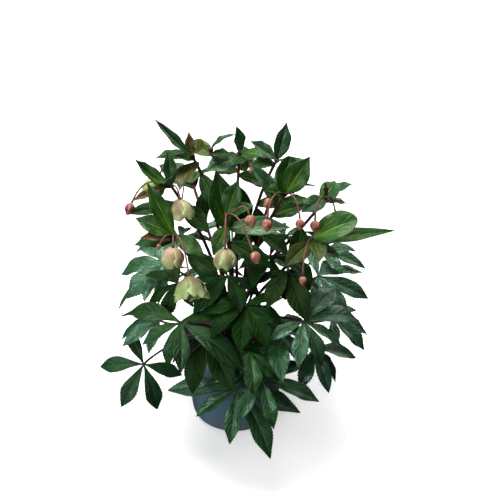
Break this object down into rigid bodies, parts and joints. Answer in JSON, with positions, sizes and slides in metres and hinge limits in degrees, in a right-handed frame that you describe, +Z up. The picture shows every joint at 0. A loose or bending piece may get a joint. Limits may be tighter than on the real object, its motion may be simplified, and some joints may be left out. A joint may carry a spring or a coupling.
{
  "type": "hellebore plant",
  "caption": "Hellebore plant in a nursery pot: palmate, toothed evergreen leaves on long stalks, and leafy flower stems with nodding cup-shaped blooms and buds.",
  "frame": {"origin": "centre of the pot's flat underside", "axes": "+Z up, -Y towards the side that the picture shows, +X to the right seen from there"},
  "size_m": [0.4213, 0.3925, 0.4918],
  "materials": {
    "pot_plastic": "satin moulded plastic, slate blue",
    "compost": "damp, coarse, matte, dark brown",
    "leaf": "leathery, dark green with a soft bluish sheen, paler underneath",
    "flower_stem": "leafy bracts in fresh to olive green on maroon stems",
    "bloom": "pale yellow-green, flushed pink at the base, silky",
    "bud": "rose pink, paler at the tip, silky"
  },
  "bodies": {
    "root": {"pot": "pot_plastic", "soil": "compost", "leaf_01": "leaf", "leaf_02": "leaf", "leaf_03": "leaf", "leaf_04": "leaf", "leaf_05": "leaf", "leaf_06": "leaf", "leaf_07": "leaf", "leaf_08": "leaf", "leaf_09": "leaf", "leaf_10": "leaf", "leaf_11": "leaf", "leaf_12": "leaf", "leaf_13": "leaf", "leaf_14": "leaf", "leaf_15": "leaf", "leaf_16": "leaf", "leaf_17": "leaf", "leaf_18": "leaf", "leaf_19": "leaf", "leaf_20": "leaf", "leaf_21": "leaf", "leaf_22": "leaf", "leaf_23": "leaf", "leaf_24": "leaf", "leaf_25": "leaf", "leaf_26": "leaf", "flower_stem_01": "flower_stem", "flower_stem_02": "flower_stem", "flower_stem_03": "flower_stem", "flower_stem_04": "flower_stem", "flower_stem_05": "flower_stem", "flower_stem_06": "flower_stem", "flower_stem_07": "flower_stem", "flower_stem_08": "flower_stem", "flower_stem_09": "flower_stem", "flower_stem_10": "flower_stem", "flower_stem_11": "flower_stem", "flower_stem_12": "flower_stem", "bloom_01": "bloom", "bloom_02": "bloom", "bloom_03": "bloom", "bloom_04": "bloom", "bloom_05": "bloom", "bloom_06": "bloom", "bloom_07": "bloom", "bloom_08": "bloom", "bud_01": "bud", "bud_02": "bud", "bud_03": "bud", "bud_04": "bud", "bud_05": "bud", "bud_06": "bud", "bud_07": "bud", "bud_08": "bud", "bud_09": "bud", "bud_10": "bud", "bud_11": "bud", "bud_12": "bud"}
  },
  "joints": []
}
